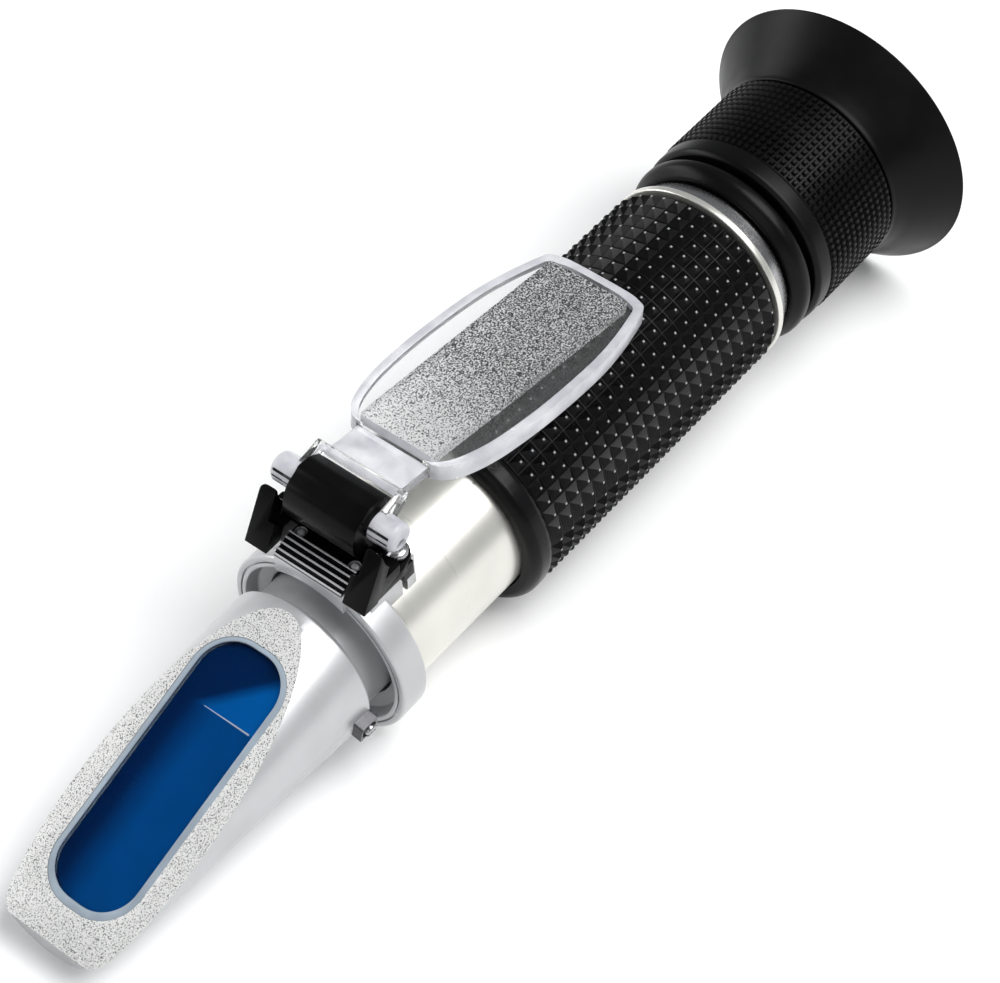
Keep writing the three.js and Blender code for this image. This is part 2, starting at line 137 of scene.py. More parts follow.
def joined_rings(bm, rings, closed):
    """Skins rings of vertices in turn; a ring of one vertex is a pole."""
    pairs = list(zip(rings, rings[1:])) + ([(rings[-1], rings[0])] if closed else [])
    for a, b in pairs:
        for i in range(max(len(a), len(b))):
            if len(a) == 1:
                bm.faces.new((a[0], b[i], b[(i + 1) % len(b)]))
            elif len(b) == 1:
                bm.faces.new((a[i], b[0], a[(i + 1) % len(a)]))
            else:
                j = (i + 1) % len(a)
                bm.faces.new((a[i], b[i], b[j], a[j]))


def turned(name, profile, steps, place=LEVEL):
    """A turned part about X from (x, radius, fillet) points, closed unless it ends on the axis."""
    closed = profile[0][1] > 0
    bm = bmesh.new()
    rings = []
    for x, r in filleted(profile, closed):
        if r < 1e-6:
            rings.append([bm.verts.new((x, 0, 0))])
        else:
            turn = [2 * math.pi * i / steps for i in range(steps)]
            rings.append([bm.verts.new((x, r * math.cos(t), r * math.sin(t))) for t in turn])
    joined_rings(bm, rings, closed)
    bmesh.ops.transform(bm, matrix=place, verts=bm.verts)
    return object_from(name, bm)


def studded(name, front, rear, rows, columns, base, crown, groove, flat):
    """A turned part whose outside, between two profiles, is a grid of four-sided studs.

    Groove and flat are shares of a stud's pitch; base and crown are radii."""
    cell = (0.0, groove, 0.5 - flat, 0.5 + flat, 1 - groove)
    share = (0.0, 0.0, 1.0, 1.0, 0.0)
    turn = [(c + s) / columns * 2 * math.pi for c in range(columns) for s in cell]
    front_points, rear_points = filleted(front, False), filleted(rear, False)
    x0, x1 = front_points[-1][0], rear_points[0][0]
    bm = bmesh.new()

    def plain(x, r):
        return [bm.verts.new((x, r * math.cos(t), r * math.sin(t))) for t in turn]

    lead = [plain(x, r) for x, r in front_points]
    grid = []
    for row in range(rows):
        for k in range(5):
            x = x0 + (x1 - x0) * (row + cell[k]) / rows
            ring = []
            for i, t in enumerate(turn):
                r = base + (crown - base) * min(share[k], share[i % 5])
                ring.append(bm.verts.new((x, r * math.cos(t), r * math.sin(t))))
            grid.append(ring)
    grid.append(plain(x1, base))
    tail = [plain(x, r) for x, r in rear_points]
    joined_rings(bm, lead, False)
    joined_rings(bm, [lead[-1], grid[0]], False)
    joined_rings(bm, [grid[-1], tail[0]], False)
    joined_rings(bm, tail, False)
    joined_rings(bm, [tail[-1], lead[0]], False)
    for k in range(len(grid) - 1):
        a, b = grid[k], grid[k + 1]
        for i in range(len(turn)):
            j = (i + 1) % len(turn)
            if (k % 5 <= 1) == (i % 5 <= 1):
                bm.faces.new((a[i], b[i], b[j]))
                bm.faces.new((a[i], b[j], a[j]))
            else:
                bm.faces.new((a[i], b[i], a[j]))
                bm.faces.new((b[i], b[j], a[j]))
    bmesh.ops.remove_doubles(bm, verts=bm.verts, dist=1e-4)
    return object_from(name, bm)


def extruded(name, outline, low, high, place):
    """An outline of (a, b, fillet) points given its depth from low to high."""
    bm = bmesh.new()
    points = filleted(outline)
    bottom = [bm.verts.new(place @ Vector((a, b, low))) for a, b in points]
    top = [bm.verts.new(place @ Vector((a, b, high))) for a, b in points]
    bm.faces.new(bottom)
    bm.faces.new(top[::-1])
    for i in range(len(points)):
        j = (i + 1) % len(points)
        bm.faces.new((bottom[i], bottom[j], top[j], top[i]))
    return object_from(name, bm)


def slab(name, x0, x1, y0, y1, z0, z1):
    """A level block, used to cut or to build up a larger piece."""
    return extruded(name, [(x0, y0), (x1, y0), (x1, y1), (x0, y1)], z0, z1, LEVEL)


def towards(start, end):
    """Places a turned part so that it begins at start and points at end."""
    start, end = Vector(start), Vector(end)
    turn = Vector((1, 0, 0)).rotation_difference((end - start).normalized())
    return Matrix.Translation(start) @ turn.to_matrix().to_4x4()


def pin(name, start, end, radius, steps=48):
    """A round bar between two points."""
    length = (Vector(end) - Vector(start)).length
    profile = [(0, 0), (0, radius), (length, radius), (length, 0)]
    return turned(name, profile, steps, towards(start, end))


def bake(obj):
    """Applies an object's modifiers to its mesh."""
    graph = bpy.context.evaluated_depsgraph_get()
    mesh = bpy.data.meshes.new_from_object(obj.evaluated_get(graph))
    obj.modifiers.clear()
    old = obj.data
    obj.data = mesh
    bpy.data.meshes.remove(old)
    return obj


def combine(target, *tools, operation="DIFFERENCE"):
    """Cuts the tools out of the target, or does another boolean, and deletes the tools."""
    for tool in tools:
        step = target.modifiers.new("combine", "BOOLEAN")
        step.operation, step.solver, step.object = operation, "EXACT", tool
        bake(target)
        bpy.data.objects.remove(tool)
    return target


def union(target, *tools):
    return combine(target, *tools, operation="UNION")


def bevelled(obj, width, segments=2, angle=30):
    """Merges what the booleans split and rounds the edges that are sharper than the angle."""
    bm = bmesh.new()
    bm.from_mesh(obj.data)
    bmesh.ops.remove_doubles(bm, verts=bm.verts, dist=2e-3)
    bmesh.ops.dissolve_limit(bm, angle_limit=math.radians(0.6), verts=bm.verts, edges=bm.edges)
    bm.to_mesh(obj.data)
    bm.free()
    step = obj.modifiers.new("bevel", "BEVEL")
    step.width, step.segments = width, segments
    step.limit_method, step.angle_limit = "ANGLE", math.radians(angle)
    step.miter_outer = "MITER_ARC"
    return bake(obj)


def finish(obj, material, body, slot, *nodes, crease=CREASE):
    """Moves a drawn piece into the row frame, gives it its body and finish and hides the CAD nodes
    it stands for.
    """
    obj.data.transform(TO_ROW)
    obj.data.materials.clear()
    for one in material if isinstance(material, (list, tuple)) else [material]:
        obj.data.materials.append(one)
    obj.data.shade_smooth()
    obj.data.set_sharp_from_angle(angle=crease)
    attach(obj, body)
    if nodes:
        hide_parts(*nodes)
    return obj


def paint(obj, index, test):
    """Gives a second material to the faces whose centre and normal pass a test."""
    for face in obj.data.polygons:
        if test(face.center, face.normal):
            face.material_index = index


# ---------------------------------------------------------------- materials
class Finish:
    """A Principled material with procedural detail in object coordinates, in metres."""

    def __init__(self, name, colour, roughness, metallic=0.0, **sockets):
        self.material = bpy.data.materials.new(name)
        self.material.use_nodes = True
        self.tree = self.material.node_tree
        self.shader = self.tree.nodes["Principled BSDF"]
        self.set("Base Color", (*colour, 1.0))
        self.set("Roughness", roughness)
        self.set("Metallic", metallic)
        for key, value in sockets.items():
            self.set(key.replace("_", " "), value)
        self.coords = self.add("ShaderNodeTexCoord").outputs["Object"]
        self.height = None

    def add(self, kind, **inputs):
        node = self.tree.nodes.new(kind)
        for key, value in inputs.items():
            node.inputs[key.replace("_", " ")].default_value = value
        return node

    def link(self, source, target):
        self.tree.links.new(source, target)

    def set(self, socket, value):
        self.shader.inputs[socket].default_value = value

    def noise(self, scale, stretch=(1, 1, 1), detail=3.0):
        """Noise with about `scale` features per metre, squeezed along each axis by stretch."""
        place = self.add("ShaderNodeMapping", Scale=stretch)
        self.link(self.coords, place.inputs["Vector"])
        noise = self.add("ShaderNodeTexNoise", Scale=scale, Detail=detail)
        self.link(place.outputs["Vector"], noise.inputs["Vector"])
        return noise.outputs["Fac"]

    def spread(self, source, low, high, to_low, to_high):
        node = self.add("ShaderNodeMapRange")
        for i, value in enumerate((low, high, to_low, to_high), 1):
            node.inputs[i].default_value = value
        self.link(source, node.inputs[0])
        return node.outputs[0]

    def colours(self, source, *stops):
        ramp = self.add("ShaderNodeValToRGB")
        while len(ramp.color_ramp.elements) < len(stops):
            ramp.color_ramp.elements.new(0.5)
        for element, (place, colour) in zip(ramp.color_ramp.elements, stops):
            element.position, element.color = place, (*colour, 1.0)
        self.link(source, ramp.inputs["Fac"])
        return ramp.outputs["Color"]

    def colour_from(self, source, *stops):
        self.link(self.colours(source, *stops), self.shader.inputs["Base Color"])
        return self

    def roughness_from(self, source, low, high, to_low, to_high):
        self.link(self.spread(source, low, high, to_low, to_high), self.shader.inputs["Roughness"])
        return self

    def bump(self, source, distance, strength=1.0):
        bump = self.add("ShaderNodeBump", Strength=strength, Distance=distance)
        self.link(source, bump.inputs["Height"])
        if self.height is not None:
            self.link(self.height, bump.inputs["Normal"])
        self.height = bump.outputs["Normal"]
        self.link(self.height, self.shader.inputs["Normal"])
        return self


def turned_metal(name, colour, roughness, lines, metallic):
    """Lathe-turned metal: fine rings about X and faint clouding."""
    made = Finish(name, colour, roughness, metallic)
    rings = made.noise(lines, (1.0, 0.0, 0.0), 2.0)
    clouds = made.noise(90, detail=2.0)
    dark = tuple(c * 0.9 for c in colour)
    made.colour_from(clouds, (0.3, dark), (0.6, colour))
    made.roughness_from(rings, 0.3, 0.7, roughness - 0.04, roughness + 0.06)
    return made.bump(rings, 0.000002, 0.3).material


def blasted_metal(name):
    """Pale metal with the dark pits and soft sheen of a blasted surface."""
    made = Finish(name, (0.8, 0.8, 0.8), 0.55, 0.3)
    grain = made.noise(6500, detail=1.0)
    patches = made.noise(60)
    made.colour_from(grain, (0.32, (0.05, 0.05, 0.05)), (0.4, (0.3, 0.3, 0.3)),
                     (0.46, (0.7, 0.7, 0.69)))
    made.roughness_from(patches, 0.3, 0.7, 0.48, 0.62)
    return made.bump(grain, 0.00005, 0.7).material


def black(name, level, roughness, grain, depth, metallic=0.0, **sockets):
    """A black surface with fine grain, slight patches in its gloss and a little dust."""
    made = Finish(name, (level, level, level * 1.05), roughness, metallic, **sockets)
    fine = made.noise(grain, detail=2.0)
    patches = made.noise(130, detail=3.0)
    pale = level * 1.5 + 0.0008
    made.colour_from(patches, (0.35, (level, level, level * 1.05)), (0.7, (pale, pale, pale)))
    made.roughness_from(patches, 0.3, 0.7, roughness - 0.05, roughness + 0.07)
    return made.bump(fine, depth, 0.6).material


def rubber_studs(name):
    """Moulded black rubber that is slightly polished; the stud tops are painted pale grey, partly
    as wear and partly as a painted highlight.
    """
    made = Finish(name, (0.002, 0.002, 0.0022), 0.3, Specular_IOR_Level=0.15)
    split = made.add("ShaderNodeSeparateXYZ")
    made.link(made.coords, split.inputs[0])
    across = made.add("ShaderNodeCombineXYZ")
    down = made.add("ShaderNodeMath")
    down.operation = "SUBTRACT"
    down.inputs[1].default_value = ORIGIN.z
    made.link(split.outputs["Z"], down.inputs[0])
    made.link(split.outputs["Y"], across.inputs[0])
    made.link(down.outputs[0], across.inputs[1])
    length = made.add("ShaderNodeVectorMath")
    length.operation = "LENGTH"
    made.link(across.outputs[0], length.inputs[0])
    height = made.spread(length.outputs["Value"], 13.1 * MM, STUD_TOP * MM, 0.0, 1.0)
    # Darker towards the stud bases, and pale grey on the very tips: partly wear, partly a painted
    # highlight.
    made.colour_from(height, (0.0, (0.0006, 0.0006, 0.0007)), (0.8, (0.0015, 0.0015, 0.0017)),
                     (0.93, (0.004, 0.004, 0.0045)), (0.985, (0.3, 0.3, 0.31)))
    made.roughness_from(height, 0.0, 1.0, 0.42, 0.26)
    return made.bump(made.noise(5200, detail=2.0), 0.00002, 0.5).material


def clear_plastic(name):
    """Moulded clear plastic with slow waves in its surface."""
    made = Finish(name, (0.97, 0.98, 0.985), 0.05, IOR=1.4, Transmission_Weight=0.97)
    waves = made.noise(160, detail=2.0)
    made.colour_from(waves, (0.3, (0.95, 0.965, 0.975)), (0.7, (0.99, 0.99, 0.99)))
    made.roughness_from(waves, 0.3, 0.7, 0.03, 0.1)
    return made.bump(waves, 0.00004, 0.35).material


def frosted_plastic(name):
    """The moulded texture of the pad, which is finer and paler near the hinge."""
    made = Finish(name, (0.85, 0.86, 0.87), 0.55, IOR=1.45, Transmission_Weight=0.55)
    grain = made.noise(4600, detail=1.0)
    row = (TO_ROW @ COVER).inverted()[0]
    along = made.add("ShaderNodeVectorMath")
    along.operation = "DOT_PRODUCT"
    along.inputs[1].default_value = row[:3]
    made.link(made.coords, along.inputs[0])
    fade = made.spread(along.outputs["Value"], 9.0 - row[3], 26.0 - row[3], 0.12, -0.015)
    total = made.add("ShaderNodeMath")
    made.link(grain, total.inputs[0])
    made.link(fade, total.inputs[1])
    made.colour_from(total.outputs[0], (0.42, (0.02, 0.02, 0.022)), (0.5, (0.34, 0.35, 0.36)),
                     (0.58, (0.9, 0.9, 0.9)))
    made.roughness_from(grain, 0.3, 0.7, 0.45, 0.65)
    return made.bump(grain, 0.00008, 0.9).material


def edge_light_plastic(name):
    """Pale translucent plastic for the clear cover's edges: a painted highlight standing in for the
    light that gathers there.
    """
    made = Finish(name, (0.8, 0.8, 0.84), 0.2, IOR=1.4, Transmission_Weight=0.35)
    waves = made.noise(260, detail=3.0)
    made.colour_from(waves, (0.3, (0.6, 0.6, 0.65)), (0.65, (0.86, 0.86, 0.9)))
    made.roughness_from(waves, 0.3, 0.7, 0.15, 0.28)
    return made.bump(waves, 0.00002, 0.3).material


def glass(name, tint, roughness=0.02, shine=0.5, index=1.5):
    """Lightly smeared glass."""
    made = Finish(name, tint, roughness, IOR=index, Transmission_Weight=1.0,
                  Specular_IOR_Level=shine)
    smear = made.noise(220, detail=3.0)
    dull = tuple(c * 0.93 for c in tint)
    made.colour_from(smear, (0.3, dull), (0.7, tint))
    made.roughness_from(smear, 0.4, 0.7, roughness, roughness + 0.03)
    return made.material


def prism_blue(name):
    """Deep blue with painted shade towards the far side and the upper end, and a painted highlight
    on one paler corner.
    """
    made = Finish(name, (0.0, 0.045, 0.19), 0.4, Specular_IOR_Level=0.02)
    to_face = (TO_ROW @ FACE).inverted()

    def along(axis, low, high, to_low, to_high):
        row = to_face[axis]
        dot = made.add("ShaderNodeVectorMath")
        dot.operation = "DOT_PRODUCT"
        dot.inputs[1].default_value = row[:3]
        made.link(made.coords, dot.inputs[0])
        return made.spread(dot.outputs["Value"], low - row[3], high - row[3], to_low, to_high)

    def math_of(kind, a, b):
        node = made.add("ShaderNodeMath")
        node.operation = kind
        made.link(a, node.inputs[0])
        made.link(b, node.inputs[1])
        return node.outputs[0]

    # Painted shade: the blue darkens towards the far side and beyond the slant at the upper end.
    # The paler blue just below the slant is a painted highlight.
    far_side = along(1, 0.2, 4.2, 0.0, 1.0)
    upper = along(0, 32.1, 32.5, 0.0, 1.0)
    slant = math_of("ADD", along(0, 30.0, 42.0, 30.0, 42.0), along(1, -6.0, 6.0, -6.0, 6.0))
    beyond = made.spread(slant, 33.6, 36.0, 0.0, 1.0)
    shade_low = made.colours(far_side, (0.0, (0.0, 0.054, 0.2)), (0.45, (0.0, 0.036, 0.14)),
                             (1.0, (0.0, 0.013, 0.06)))
    shade_high = made.colours(beyond, (0.0, (0.0, 0.095, 0.33)), (1.0, (0.0, 0.014, 0.062)))
    mix = made.add("ShaderNodeMix")
    mix.data_type = "RGBA"
    made.link(upper, mix.inputs["Factor"])
    made.link(shade_low, mix.inputs[6])
    made.link(shade_high, mix.inputs[7])
    made.link(mix.outputs[2], made.shader.inputs["Base Color"])
    return made.bump(made.noise(300, detail=1.0), 0.00001, 0.2).material


def tinted(name, colour, roughness, grain, depth, metallic=0.0, **sockets):
    """A coloured surface with fine grain and slight clouding."""
    made = Finish(name, colour, roughness, metallic, **sockets)
    fine = made.noise(grain, detail=2.0)
    dull = tuple(c * 0.8 for c in colour)
    made.colour_from(made.noise(260), (0.3, dull), (0.65, colour))
    made.roughness_from(fine, 0.3, 0.7, roughness - 0.04, roughness + 0.08)
    return made.bump(fine, depth, 0.5).material


SATIN = turned_metal("satin_aluminium", (0.53, 0.535, 0.545), 0.36, 2600, 0.55)
BRIGHT = turned_metal("bright_aluminium", (0.76, 0.75, 0.7), 0.3, 3400, 0.8)
BLASTED = blasted_metal("blasted_aluminium")
ANODISED = black("black_anodised", 0.0015, 0.34, 2400, 0.00001, Specular_IOR_Level=0.13)
PLASTIC = black("black_plastic", 0.0012, 0.28, 1400, 0.000004, Specular_IOR_Level=0.1)
STUDS = rubber_studs("grip_rubber")
CUP = black("cup_rubber", 0.0012, 0.36, 4200, 0.000012, Sheen_Weight=0.01, Sheen_Roughness=0.4,
            Specular_IOR_Level=0.12)
CLEAR = clear_plastic("clear_plastic")
FROSTED = frosted_plastic("frosted_plastic")
EDGE_LIGHT = edge_light_plastic("edge_light_plastic")
PRISM_GLASS = glass("prism_glass", (0.9, 0.95, 1.0), shine=0.03, index=1.08)
PRISM_BLUE = prism_blue("prism_blue")
LENS_GLASS = glass("lens_glass", (0.9, 0.96, 1.0))
SEAL = tinted("seal", (0.31, 0.37, 0.43), 0.4, 1800, 0.00001, Specular_IOR_Level=0.3)
STEEL = tinted("steel", (0.42, 0.42, 0.43), 0.24, 3000, 0.000005, 1.0)
BRASS = tinted("brass", (0.72, 0.52, 0.2), 0.3, 2600, 0.00001, 1.0)
# PALE is the pale steel of the strip screws, and also a painted highlight on the prism edge sliver
# and the strip crests.
PALE = tinted("pale_steel_and_highlight", (0.6, 0.6, 0.62), 0.4, 2600, 0.000005, 0.2)
GROOVE = tinted("groove_shade", (0.03, 0.03, 0.035), 0.4, 2600, 0.000005)
# Painted shade for the nose's front end face, a darker grey than the housing.
END_SHADE = tinted("end_face_shade", (0.4, 0.4, 0.41), 0.42, 2600, 0.000005, 0.4)
DARK_STEEL = tinted("dark_steel", (0.07, 0.07, 0.075), 0.34, 3000, 0.000005, 0.7)
INK = tinted("scale_ink", (0.02, 0.02, 0.03), 0.5, 2000, 0.000005)


# ---------------------------------------------------------------- nose and prism
def window_outline(margin, shift=(0.0, 0.0)):
    """The round-ended window, grown by a margin, in face coordinates."""
    x0, x1 = WINDOW_LOW - margin, WINDOW_HIGH + margin
    half, corner = WINDOW_HALF + margin, WINDOW_CORNER + margin
    centres = [(x1 - corner, corner - half, -90), (x1 - corner, half - corner, 0),
               (x0 + corner, half - corner, 90), (x0 + corner, corner - half, 180)]
    points = []
    for a, b, start in centres:
        for k in range(17):
            t = math.radians(start + 90 * k / 16)
            points.append((a + corner * math.cos(t) + shift[0],
                           b + corner * math.sin(t) + shift[1]))
    return points


def window(name, margin, low, high, shift=(0.0, 0.0)):
    return extruded(name, window_outline(margin, shift), low, high, FACE)


def lug_point(r):
    """A point at a radius from the axis on the calibration screw's line."""
    return (LUG_X, -r * math.cos(LUG_TILT), -r * math.sin(LUG_TILT))


def make_nose():
    """The tapered housing with its sloped face, prism pocket and side lug."""
    body = turned("nose_housing", [
        (NOSE_FRONT, 0), (NOSE_FRONT, 8.3, 0.4), (-123.4, 8.95, 0.5), (-121.6, 9.3, 0.8),
        (-80.6, 10.7, 0.6), (-79.2, 10.72, 0.2), (-78.6, 10.1, 0.25), (-78.6, NECK_RADIUS),
        (-62, NECK_RADIUS), (-62, 0)], ROUND_STEPS)
    above = extruded("above", [(-20, -20), (80, -20), (80, 20), (-20, 20)], 0, 40, FACE)
    combine(body, above)
    place = Matrix.Translation(lug_point(10.3)) @ Matrix.Rotation(LUG_TILT, 4, "X")
    place = place @ Matrix.Rotation(math.pi / 2, 4, "X")
    half = 1.45
    square = [(-half, -half, 0.3), (half, -half, 0.3), (half, half, 0.3), (-half, half, 0.3)]
    union(body, extruded("lug", square, -1.7, 1.7, place))
    combine(body, window("pocket", 0.5, -4.4, 2))
    combine(body, pin("hole", lug_point(9.6), lug_point(13), 1.2))
    bevelled(body, 0.1, 2, 24)
    combine(body, pin("bore", (-88, 0, 0), (-61, 0, 0), 7.4, SMALL_STEPS),
            pin("way", (-100, 0, 0), (-87, 0, 0), 6.0, SMALL_STEPS))
    finish(body, [SATIN, BLASTED, DARK_STEEL, END_SHADE],
           "housing", "satin_aluminium", "prism_housing")
    slope = (FACE.to_3x3() @ Vector((0, 0, 1))).normalized()
    paint(body, 1, lambda centre, normal: normal.dot(slope) > 0.985)
    # Painted shade: the front end face is painted a darker grey than the housing's sides.
    paint(body, 3, lambda centre, normal: normal.x < -0.95)
    lug = TO_ROW @ Vector(lug_point(11.3))

    def on_lug(centre, normal):
        return (centre - lug).length < 2.2 * MM and (centre - ORIGIN).yz.length > 10.75 * MM

    paint(body, 2, on_lug)


def make_prism():
    """Seal, clear plate, deep blue block, and a pale sliver across it that is a painted highlight
    on a prism edge.
    """
    seal = window("prism_seal_ring", 0.49, -1.3, -0.04)
    combine(seal, window("seal_opening", -0.32, -2, 1, PRISM_SHIFT))
    finish(bevelled(seal, 0.12, 2), SEAL, "housing", "seal", "prism_seal")
    plate = window("prism_glass_plate", -0.37, -0.85, -0.12, PRISM_SHIFT)
    finish(bevelled(plate, 0.06, 2), PRISM_GLASS, "housing", "prism_glass", "prism")
    block = window("prism_block", -0.4, -3.8, -0.95, PRISM_SHIFT)
    finish(bevelled(block, 0.05, 1), PRISM_BLUE, "housing", "blue_filter", "blue_filter")
    # Painted highlight: a thin pale sliver standing in for the light caught along one prism edge.
    glint = extruded("prism_edge_highlight", [
        (32.22, -4.9), (32.44, -4.9), (32.4, -1.6), (32.35, 2.1), (32.28, 2.1), (32.26, -1.6)],
        -0.94, -0.9, FACE)
    finish(glint, PALE, "housing", "seal")


def make_calibration_screw():
    outwards = towards((0, 0, 0), (0, -math.cos(LUG_TILT), -math.sin(LUG_TILT)))
    screw = turned("calibration_screw_head", [
        (9.9, 0), (9.9, 0.9), (12.3, 0.9, 0.15), (12.5, 0.75, 0.1), (12.5, 0)], 48,
        Matrix.Translation((LUG_X, 0, 0)) @ outwards)
    across = Matrix.Translation(lug_point(12.5)) @ Matrix.Rotation(LUG_TILT + math.pi / 2, 4, "X")
    slot = extruded("slot", [(-2, -0.16), (2, -0.16), (2, 0.16), (-2, 0.16)], -0.5, 0.5, across)
    combine(screw, slot)
    finish(screw, STEEL, "calibration", "steel", "calibration_screw")


make_nose()
make_prism()
make_calibration_screw()


# ---------------------------------------------------------------- collar and hinge
def both(make):
    """One tool for each side of the axis."""
    return [make(1), make(-1)]


def upright(x, y, low, high, radius):
    return pin("upright", (x, y, low), (x, y, high), radius)


def round_hinge(radius):
    """A cylinder on the hinge's axis, wider than the hinge."""
    return pin("round_hinge", (HINGE_X, -12, HINGE_Z), (HINGE_X, 12, HINGE_Z), radius)


def make_collar():
    """The band round the tube's front end with the saddle that carries the hinge."""
    front, rear, radius = COLLAR_FRONT, COLLAR_REAR, COLLAR_RADIUS
    band = turned("hinge_collar_ring", [
        (front, 11.8, 0.1), (front, 12.35), (-75.65, 12.35), (-75.65, 12.6), (front, 12.6),
        (front, radius, 0.45), (rear, radius, 0.4), (rear, 9.7), (-73.8, 9.7), (-74.2, 11.4, 0.2)],
        ROUND_STEPS)
    saddle = slab("saddle", -74.4, -66.4, -7.9, 7.9, 6, SADDLE_TOP)
    union(saddle, slab("land", -76.5, -74.2, -5.3, 5.3, 10.5, SADDLE_TOP))
    combine(saddle, turned("tube_room", [(-71.71, 0), (-71.71, 11.7), (-60, 11.7), (-60, 0)], 128))
    combine(saddle, turned("recess", [(-77, 0), (-77, 12.0), (rear, 12.0), (rear, 0)], 128))
    union(band, saddle)
    combine(band, *both(lambda s: upright(HINGE_SCREW_X, s * HINGE_SCREW_Y, 8, 14, 1.1)))
    combine(band, upright(-73.4, 0, -14, -9, 1.3))
    finish(bevelled(band, 0.12, 2), SATIN, "housing", "satin_aluminium", "hinge_collar")
    grub = pin("collar_set_screw", (-73.4, 0, -12.9), (-73.4, 0, -9.9), 1.0)
    combine(grub, pin("socket", (-73.4, 0, -14), (-73.4, 0, -11.9), 0.55, 6))
    finish(bevelled(grub, 0.08), STEEL, "housing", "steel", "collar_screw")


def make_wing(side):
    """A leaning plate in front of each ear, cut clear of the swinging cover."""
    plane = axes((0, 1, 0), Vector((3.5, 0, 6.2)).normalized(), (-77.1, 0, 14.0))

    def plate(inner, outer, corner):
        height = 8.1
        points = [(inner, -1, 0), (outer, -1, 0), (outer, 0.9, 0.9), (outer, height, corner),
                  (inner, height, 0.4)]
        return extruded("wing", [(side * y, h, c) for y, h, c in points], 0, 2.1, plane)

    cheek = combine(plate(6.95, 9.3, 1.0), round_hinge(2.95))
    toe = combine(plate(5.9, 7.2, 0.4), round_hinge(5.9))
    inner, outer = side * 6.95, side * 9.1
    foot = extruded("foot", [(-75.6, inner), (-70, inner), (-70, outer, 0.5), (-75.6, outer, 0.8)],
                    13.5, 16.6, LEVEL)
    union(cheek, toe, foot)
    return combine(cheek, slab("under", -80, -60, -12, 12, 5, 14.0))


def make_hinge_block():
    """The black block with its barrel, sole and wings, then the pin and the screws."""
    x, z, foot = HINGE_X, HINGE_Z, 14.0
    block = extruded("hinge_block_body", [
        (x - 1.5, foot, 0.3), (x + 3.8, foot, 0.3), (x + 3.9, 18.6, 0.8), (x + 4.0, 21.0, 0.6),
        (x + 3.0, 23.3, 0.35), (x + 1.3, 24.3, 0.4), (x - 0.6, 24.5, 0.3), (x - 1.2, 24.0, 0.3),
        (x - 2.9, 23.1, 0.7), (x - 4.0, 20.8, 1.2), (x - 3.7, 18.4, 0.8), (x - 1.4, 16.5, 0.3),
        (x - 1.0, 15.8, 0.2), (x - 1.5, 14.9)], -5.4, 5.4, SIDEWAYS)
    sole = extruded("sole", [
        (x - 1.5, -9.1), (x + 0.4, -9.1, 0.5), (x + 2.6, -8.4, 0.6), (x + 3.6, -7.2, 0.6),
        (x + 3.8, -5.0), (x + 3.8, 5.0), (x + 3.6, 7.2, 0.6), (x + 2.6, 8.4, 0.6),
        (x + 0.4, 9.1, 0.5), (x - 1.5, 9.1)], foot, 15.2, LEVEL)
    heels = both(lambda s: slab("heel", x + 0.6, x + 2.4, *sorted((s * 7.95, s * 8.8)), 12.2, 14.6))
    union(block, sole, make_wing(1), make_wing(-1), *heels)
    combine(block, *both(lambda s: upright(HINGE_SCREW_X, s * HINGE_SCREW_Y, 13, 16, 1.1)))
    combine(block, round_hinge(1.05))
    finish(bevelled(block, 0.16, 3), PLASTIC, "housing", "black_plastic", "hinge_block")

    pivot = turned("hinge_pin_rod", [(-9.0, 0), (-9.0, 0.75, 0.2), (9.0, 0.75, 0.2), (9.0, 0)], 40,
                   Matrix.Translation((x, 0, z)) @ Matrix.Rotation(math.pi / 2, 4, "Z"))
    finish(pivot, STEEL, "housing", "steel", "hinge_pin")
    for side, label in ((1, "left"), (-1, "right")):
        x, y = HINGE_SCREW_X, side * HINGE_SCREW_Y
        screw = turned("hinge_screw_head_" + label, [
            (0, 0), (0, 0.8), (4.5, 0.8), (4.5, 1.5, 0.1), (5.1, 1.5, 0.25), (5.4, 1.0, 0.3),
            (5.4, 0)], 48, towards((x, y, 11.0), (x, y, 12)))
        combine(screw, slab("slot", -70.4, -66.4, y - 0.2, y + 0.2, 16.0, 17.2))
        finish(screw, STEEL, "housing", "steel", "hinge_screw_" + label)


